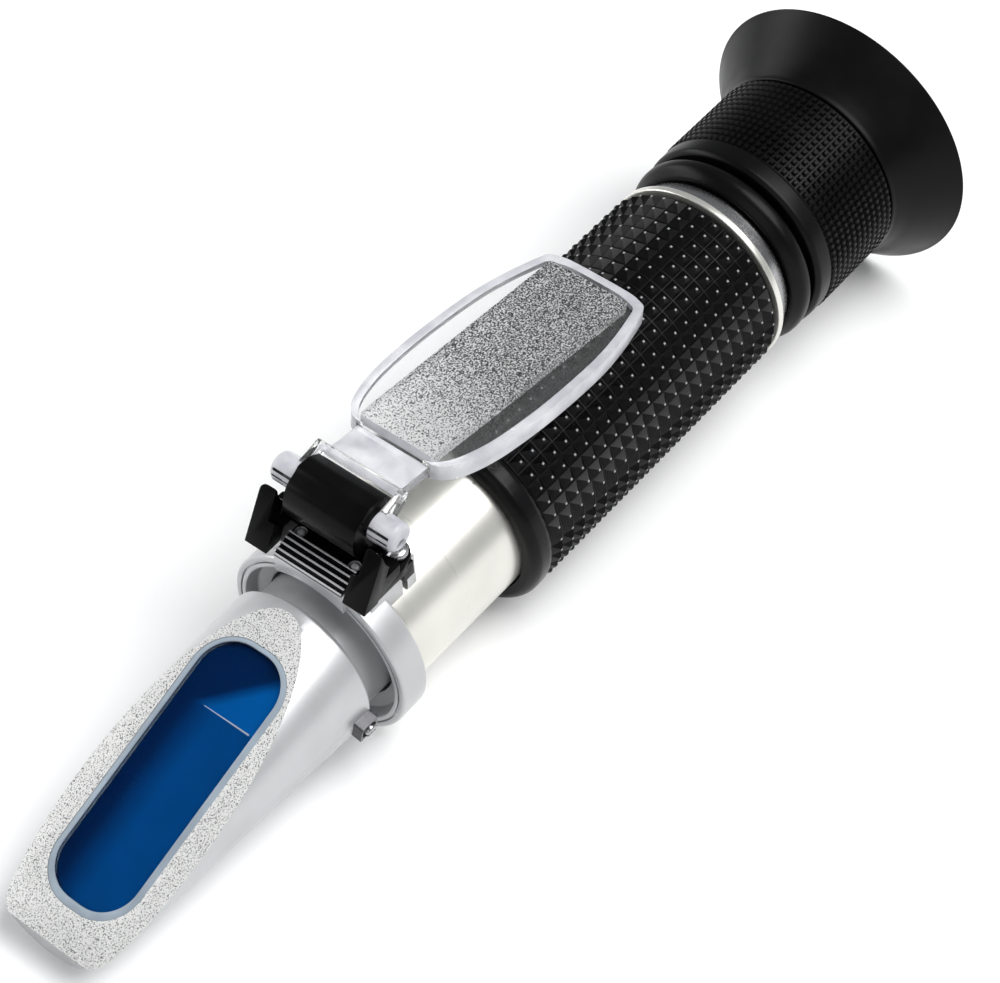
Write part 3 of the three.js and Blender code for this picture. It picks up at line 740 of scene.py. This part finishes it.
def make_strip():
    """The ribbed strip: pale crests as painted highlights, with the faces between them painted
    black as painted shade.
    """
    points = [(-76.5, 14.0), (-71.8, 14.0), (-71.8, 15.1, 0.05), (-73.3, 15.1)]
    tops = [RIB_TOP - i * RIB_PITCH * math.tan(FACE_SLOPE) for i in range(RIB_COUNT)]
    for i, top in enumerate(tops):
        x = RIB_FIRST_X - i * RIB_PITCH
        points += [(x, top, 0.05), (x - 0.22, top, 0.05), (x - 0.36, top - 0.4, 0.06),
                   (x - 0.66, top - 0.4, 0.06)]
    strip = extruded("detent_strip_plate", points, -5.2, 5.2, SIDEWAYS)
    combine(strip, *both(lambda s: upright(STRIP_SCREW_X, s * STRIP_SCREW_Y, 13, 17, 0.8)))
    finish(strip, [PALE, PLASTIC], "housing", "steel", "detent_strip")
    crests = [(TO_ROW @ Vector((0, 0, top))).z - 0.05 * MM for top in tops]
    front = (TO_ROW @ Vector((-76.3, 0, 0))).x

    def between_crests(centre, normal):
        return centre.x > front and not any(0 <= centre.z - crest < 0.1 * MM for crest in crests)

    # Painted shade: every face but the crest tops and the front end is painted black. The crests
    # keep the pale painted highlight.
    paint(strip, 1, between_crests)
    for side, label in ((1, "left"), (-1, "right")):
        x, y = STRIP_SCREW_X, side * STRIP_SCREW_Y
        screw = turned("strip_screw_head_" + label, [
            (0, 0), (0, 0.35), (1.9, 0.35), (1.9, 0.5), (2.45, 0.5, 0.1), (2.65, 0.3, 0.1),
            (2.65, 0)], 32, towards((x, y, 12.5), (x, y, 13)))
        finish(screw, PALE, "housing", "steel", "strip_screw_" + label)


make_collar()
make_hinge_block()
make_strip()


# ---------------------------------------------------------------- daylight cover
COVER_SIDE_POINTS = [(9.5, 5.7), (9.95, 6.8), (11.7, 8.2), (15, 9.3), (19.5, 10.0), (27, 10.35),
                     (36, 10.1), (41.5, 9.4), (46, 8.4), (48.9, 7.6)]


def smooth_curve(points, steps):
    """Catmull-Rom points through a list, with the ends doubled."""
    padded = [points[0]] + list(points) + [points[-1]]
    out = []
    for i in range(1, len(padded) - 2):
        p = [Vector(q) for q in padded[i - 1:i + 3]]
        for k in range(steps):
            t = k / steps
            out.append(0.5 * ((2 * p[1]) + (p[2] - p[0]) * t
                              + (2 * p[0] - 5 * p[1] + 4 * p[2] - p[3]) * t * t
                              + (3 * p[1] - p[0] - 3 * p[2] + p[3]) * t ** 3))
    return out + [Vector(points[-1])]


def cover_outline(inset):
    """The plate's outline in cover coordinates, drawn in by an inset."""
    end = COVER_END - inset
    side = [(p.x, p.y - inset) for p in smooth_curve(COVER_SIDE_POINTS, 8) if p.x < end - 1.3]
    if inset:
        side.insert(0, (8.8, side[0][1]))
    upper = side + [(end - 0.8, side[-1][1] - 0.4, 0.6), (end - 0.1, 5.4 - inset, 1.2), (end, 2.2)]
    return upper + [(p[0], -p[1], *p[2:]) for p in reversed(upper)]


def arc_points(centre, radius, start, sweep, steps):
    """Points on an arc, with its angles in degrees."""
    turn = [math.radians(start + sweep * k / steps) for k in range(steps + 1)]
    return [(centre[0] + radius * math.cos(t), centre[1] + radius * math.sin(t)) for t in turn]


def make_ear(side):
    """An arm with a grooved cheek, which turns on the hinge pin."""
    centre = (0.0, 0.85)
    outline = arc_points(centre, 1.95, 135, 216, 32) + arc_points((3.6, 3.1), 0.8, -45, 180, 12)
    low, high = sorted((side * 5.8, side * 6.7))
    arm = extruded("arm", outline, low, high, COVER_SIDE)
    hub = HINGE_POINT + COVER.to_3x3() @ Vector((centre[0], 0, centre[1]))
    cheek = turned("cheek", [
        (5.85, 0), (5.85, 1.98), (8.9, 1.98, 0.2), (9.4, 1.6, 0.3), (9.4, 0)], 64,
        Matrix.Translation(hub) @ Matrix.Rotation(side * math.pi / 2, 4, "Z"))
    union(arm, cheek)
    low, high = sorted((side * 7.2, side * 8.8))
    for n in EAR_GROOVES:
        under, over = n - GROOVE_HALF, n + GROOVE_HALF
        outline = [(-3, under), (-1.45, under), (-1.45, over), (-3, over)]
        combine(arm, extruded("groove", outline, low, high, COVER_SIDE))
    return arm


def paint_cover(cover):
    """Frosted pad, edges painted pale as a painted highlight, and painted shade in the ear grooves,
    on the clear plate.
    """
    to_cover = (TO_ROW @ COVER).inverted()
    upwards = (COVER.to_3x3() @ Vector((0, 0, 1))).normalized()
    inner_side = [p for p in cover_outline(0.5) if p[1] > 0]

    def half_width(u):
        return min((p[1] for p in inner_side if abs(p[0] - u) < 1.2), default=20)

    def on_pad(centre, normal):
        u, b, n = to_cover @ centre
        top = n > 3.85 or (n > 3.05 and abs(normal.dot(upwards)) < 0.5 and u > 10.1)
        return top and abs(b) < 6.3 and 9.7 < u < 47.7

    def on_rim(centre, normal):
        u, b, n = to_cover @ centre
        facing = normal.dot(upwards)
        neck = 4.6 < u < 9.6 and facing > 0.7 and 2.5 < n < 3.2
        pad_end = abs(b) < 5.6 and 9.7 < u < 10.1 and abs(facing) < 0.5
        ear = abs(b) > 6.75 and u < 4.5
        far_end = u > 49.3 and abs(facing) < 0.6
        crest = facing > 0.4 and 3.4 < n < 3.8
        edge = abs(facing) < 0.6 and 1.5 < n < COVER_TOP and abs(b) > half_width(u)
        return neck or pad_end or ear or far_end or crest or edge

    def in_groove(centre, normal):
        u, b, n = to_cover @ centre
        near = min(abs(n - groove) for groove in EAR_GROOVES) < GROOVE_HALF + 0.01
        return u < -1.4 and 7.15 < abs(b) < 8.85 and near

    paint(cover, 1, on_pad)
    # Painted highlight: the rim edges, crest, neck, pad end, ears and far end get the pale edge
    # material.
    paint(cover, 2, on_rim)
    paint(cover, 3, in_groove)


def make_cover():
    """The clear plate with its raised rim, pad, neck and two ears, as one moulding."""
    cover = extruded("daylight_cover_plate", cover_outline(0), COVER_LOW, COVER_TOP, COVER)
    combine(cover, extruded("trough", cover_outline(COVER_RIM), 3.0, 5, COVER))
    pad = extruded("pad", [
        (PAD_START, -5.6, 0.5), (PAD_END, -6.1, 0.6), (PAD_END, 6.1, 0.6), (PAD_START, 5.6, 0.5)],
        2.6, PAD_TOP, COVER)
    neck = extruded("neck", [(4.15, 1.5), (11, 1.5), (11, 2.96), (3.3, 2.96)],
                    -5.4, 5.4, COVER_SIDE)
    bar = extruded("bar", [(2.9, 3.3), (3.9, 2.6), (4.4, 2.7), (4.6, 3.1), (4.1, 3.4), (3.5, 3.8)],
                   -6.65, 6.65, COVER_SIDE)
    union(cover, pad, neck, bar)
    union(cover, make_ear(1))
    union(cover, make_ear(-1))
    combine(cover, round_hinge(0.82))
    bevelled(cover, 0.12, 2, 30)
    finish(cover, [CLEAR, FROSTED, EDGE_LIGHT, GROOVE], "cover", "clear_plastic", "daylight_cover")
    paint_cover(cover)


make_cover()


# ---------------------------------------------------------------- tube, grip and rings
def make_tube():
    tube = turned("main_tube_barrel", [
        (-71.3, TUBE_BORE), (-71.3, TUBE_RADIUS, 0.2), (3.6, TUBE_RADIUS), (3.6, TUBE_BORE)],
        ROUND_STEPS)
    finish(tube, BRIGHT, "housing", "bright_aluminium", "main_tube")

    grip = studded(
        "rubber_grip_sleeve",
        [(-51.3, SLEEVE_BORE), (-51.3, 12.9, 0.3), (-50.9, 13.5, 0.4), (-50.2, 13.9, 0.5),
         (-48.4, 13.9, 0.4), (-47.8, 13.6, 0.3), (-47.4, STUD_BASE)],
        [(-0.3, STUD_BASE), (-0.3, SLEEVE_BORE)],
        rows=21, columns=42, base=STUD_BASE, crown=STUD_TOP, groove=0.03, flat=0.05)
    finish(grip, STUDS, "housing", "grip_rubber", "rubber_grip", crease=math.radians(12))

    trim = turned("trim_ring_band", [
        (0, SLEEVE_BORE), (0, 13.9, 0.25), (1.0, 13.9, 0.25), (1.0, SLEEVE_BORE)], ROUND_STEPS)
    finish(trim, BRIGHT, "housing", "bright_aluminium", "trim_ring")
    cone = turned("rear_ring_cone", [
        (1.3, SLEEVE_BORE), (1.3, 13.1, 0.1), (3.4, 12.7, 0.2), (3.7, 12.5, 0.1),
        (3.7, SLEEVE_BORE)], ROUND_STEPS)
    finish(cone, STEEL, "housing", "satin_aluminium", "rear_ring")


def make_eyepiece():
    sleeve = turned("eyepiece_sleeve_barrel", [
        (-9, 8.3), (-9, 9.4), (4, 9.4), (4, 13.1, 0.3), (5.1, 14.3, 1.0), (6.5, 14.3, 0.6),
        (7.2, 13.7, 0.4), (7.2, 11.2), (20, 11.2), (20, 8.3)], 192)
    finish(sleeve, ANODISED, "housing", "black_anodised", "eyepiece_sleeve")

    ring = studded(
        "focus_ring_knurled",
        [(23, 11.5), (8.1, 11.5), (8.1, 13.9, 0.3), (8.6, 14.45, 0.5), (11.0, 14.45, 0.2),
         (11.3, KNURL_BASE)],
        [(25.1, KNURL_BASE), (25.3, 14.0, 0.1), (25.3, 12.2), (27.2, 12.2), (27.2, 8.5), (23, 8.5)],
        rows=12, columns=88, base=KNURL_BASE, crown=KNURL_TOP, groove=0.13, flat=0.2)
    finish(ring, ANODISED, "focus", "black_anodised", "focus_ring", crease=math.radians(12))

    cup = turned("eyecup_rubber", [
        (25.4, 12.5), (25.4, 14.45, 0.2), (26.0, 14.6, 0.3), (27.6, 15.5, 0.8), (29.9, 17.3, 1.0),
        (32.1, 19.1, 1.0), (33.1, 19.95, 0.4), (33.55, 20.38, 0.2), (33.8, 20.1, 0.15),
        (33.8, 19.6, 0.2), (33.2, 18.9, 0.4), (31.0, 17.7, 0.9), (29.2, 15.6, 1.0),
        (28.6, 13.4, 0.6), (28.4, 9.0, 0.2), (27.5, 8.6, 0.2), (27.5, 12.5)], ROUND_STEPS)
    finish(cup, CUP, "focus", "cup_rubber", "eyecup")


def lens_profile(x0, x1, radius, front, rear):
    """A lens whose two faces bulge by front and rear at the axis."""
    face = [k / 10 for k in range(11)]
    lead = [(x0 - front * (1 - s * s), radius * s) for s in face]
    return lead + [(x1 + rear * (1 - s * s), radius * s) for s in reversed(face)]


def make_optics():
    for name, node, body, shape in (
            ("objective_glass", "objective_lens", "housing", (-69.6, -68.2, 7.1, 1.0, 0.9)),
            ("field_lens_glass", "field_lens", "lens_group", (12.0, 13.4, 7.1, 0.6, 1.2)),
            ("eye_lens_glass", "eye_lens", "lens_group", (21.9, 23.3, 7.1, 1.1, 1.1))):
        lens = turned(name, lens_profile(*shape), SMALL_STEPS)
        finish(lens, LENS_GLASS, body, "lens_glass", node)
    for name, node, body, x0, x1, r0, r1 in (
            ("objective_ring_thread", "objective_ring", "housing", -66.4, -64.6, 6.0, 7.1),
            ("light_baffle_ring", "light_baffle", "housing", -27, -26, 5.2, 9.4),
            ("reticle_ring_thread", "reticle_ring", "housing", -3.0, -1.4, 7.0, 7.9),
            ("lens_spacer_tube", "lens_spacer", "lens_group", 13.8, 20.4, 6.3, 7.2),
            ("lens_retainer_ring", "lens_retainer", "lens_group", 23.7, 25.4, 6.2, 7.2)):
        profile = [(x0, r0), (x0, r1, 0.1), (x1, r1, 0.1), (x1, r0, 0.25)]
        part = turned(name, profile, SMALL_STEPS)
        finish(part, ANODISED, body, "black_anodised", node)
    cell = turned("lens_cell_barrel", [
        (8.6, 6.4), (8.6, 8.0), (27.2, 8.0, 0.1), (27.2, 7.5, 0.1), (9.8, 7.5), (9.8, 6.4)],
        SMALL_STEPS)
    finish(cell, ANODISED, "lens_group", "black_anodised", "lens_cell")


def make_reticle():
    """A glass disc with two plain rows of ticks."""
    disc = turned("reticle_glass", [
        (-4.6, 0), (-4.6, 7.9, 0.1), (-3.4, 7.9, 0.1), (-3.4, 0)], SMALL_STEPS)
    finish(disc, LENS_GLASS, "housing", "lens_glass", "reticle")
    tick_count, half_line, thickness = 33, 0.03, 0.02
    bm = bmesh.new()
    for i in range(tick_count):
        length = 1.0 if i % 5 else 1.8
        z = -5.0 + 10.0 * i / (tick_count - 1)
        for y0, y1 in ((-0.4 - length, -0.4), (0.4, 0.4 + length)):
            low, high = z - half_line, z + half_line
            corners = [bm.verts.new((-3.36, y, h)) for y, h in
                       ((y0, low), (y1, low), (y1, high), (y0, high))]
            face = bm.faces.new(corners)
            lifted = bmesh.ops.extrude_face_region(bm, geom=[face])["geom"]
            moved = [v for v in lifted if isinstance(v, bmesh.types.BMVert)]
            bmesh.ops.translate(bm, verts=moved, vec=(thickness, 0, 0))
    finish(object_from("reticle_scale_ticks", bm), INK, "housing", "lens_glass")


make_tube()
make_eyepiece()
make_optics()
make_reticle()

for node in ("bimetal_strip", "bimetal_screw"):
    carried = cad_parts[node]
    carried.data.materials.clear()
    carried.data.materials.append(BRASS)


# ---------------------------------------------------------------- floor, light and camera
def make_floor():
    """A pale floor that the eyecup's rim and the collar both rest on."""
    cup_bottom = ORIGIN + Vector((33.5, 0, -20.36)) * MM
    collar_bottom = ORIGIN + Vector((-73.5, 0, -13.42)) * MM
    slope = math.atan2(collar_bottom.z - cup_bottom.z, cup_bottom.x - collar_bottom.x)
    bm = bmesh.new()
    bmesh.ops.create_grid(bm, x_segments=4, y_segments=4, size=3.0)
    floor = object_from("floor", bm)
    floor.location = cup_bottom + Vector((0, 0, -0.0001))
    floor.rotation_euler = Euler((0, slope, 0))
    pale = Finish("floor_paint", (0.93, 0.93, 0.93), 0.7)
    pale.colour_from(pale.noise(6), (0.3, (0.92, 0.92, 0.92)), (0.7, (0.95, 0.95, 0.95)))
    floor.data.materials.append(pale.material)


def soft_light(name, place, target, size, power):
    data = bpy.data.lights.new(name, "AREA")
    data.shape, data.size, data.size_y, data.energy = "RECTANGLE", size[0], size[1], power
    lamp = bpy.data.objects.new(name, data)
    lamp.location = place
    lamp.rotation_euler = (Vector(target) - Vector(place)).to_track_quat("-Z", "Y").to_euler()
    bpy.context.scene.collection.objects.link(lamp)


def make_light():
    world = bpy.data.worlds.new("studio")
    world.use_nodes = True
    background = world.node_tree.nodes["Background"]
    background.inputs["Color"].default_value = (0.95, 0.97, 1.0, 1.0)
    background.inputs["Strength"].default_value = 0.3
    bpy.context.scene.world = world
    middle = (0, 0, 0.02)
    soft_light("key", (0.28, -0.42, 0.85), middle, (0.75, 0.75), 11.5)
    soft_light("left", (-0.25, 0.85, 0.32), middle, (0.9, 0.35), 4.5)
    soft_light("front", (-0.8, -0.25, 0.5), middle, (0.5, 0.5), 0.9)
    bpy.context.scene.view_settings.view_transform = "Standard"


def make_camera():
    data = bpy.data.cameras.new("camera")
    data.lens, data.sensor_width = 108.0, 36.0
    data.clip_start, data.clip_end = 0.01, 20.0
    camera = bpy.data.objects.new("camera", data)
    camera.location = (-0.17882, -0.15836, 0.31177)
    looking = Vector((0.47769, 0.41416, -0.77478)).to_track_quat("-Z", "Y").to_matrix()
    roll = Matrix.Rotation(math.radians(-2.77), 3, "Z")
    camera.rotation_euler = (looking @ roll).to_euler()
    bpy.context.scene.collection.objects.link(camera)
    bpy.context.scene.camera = camera


make_floor()
make_light()
make_camera()
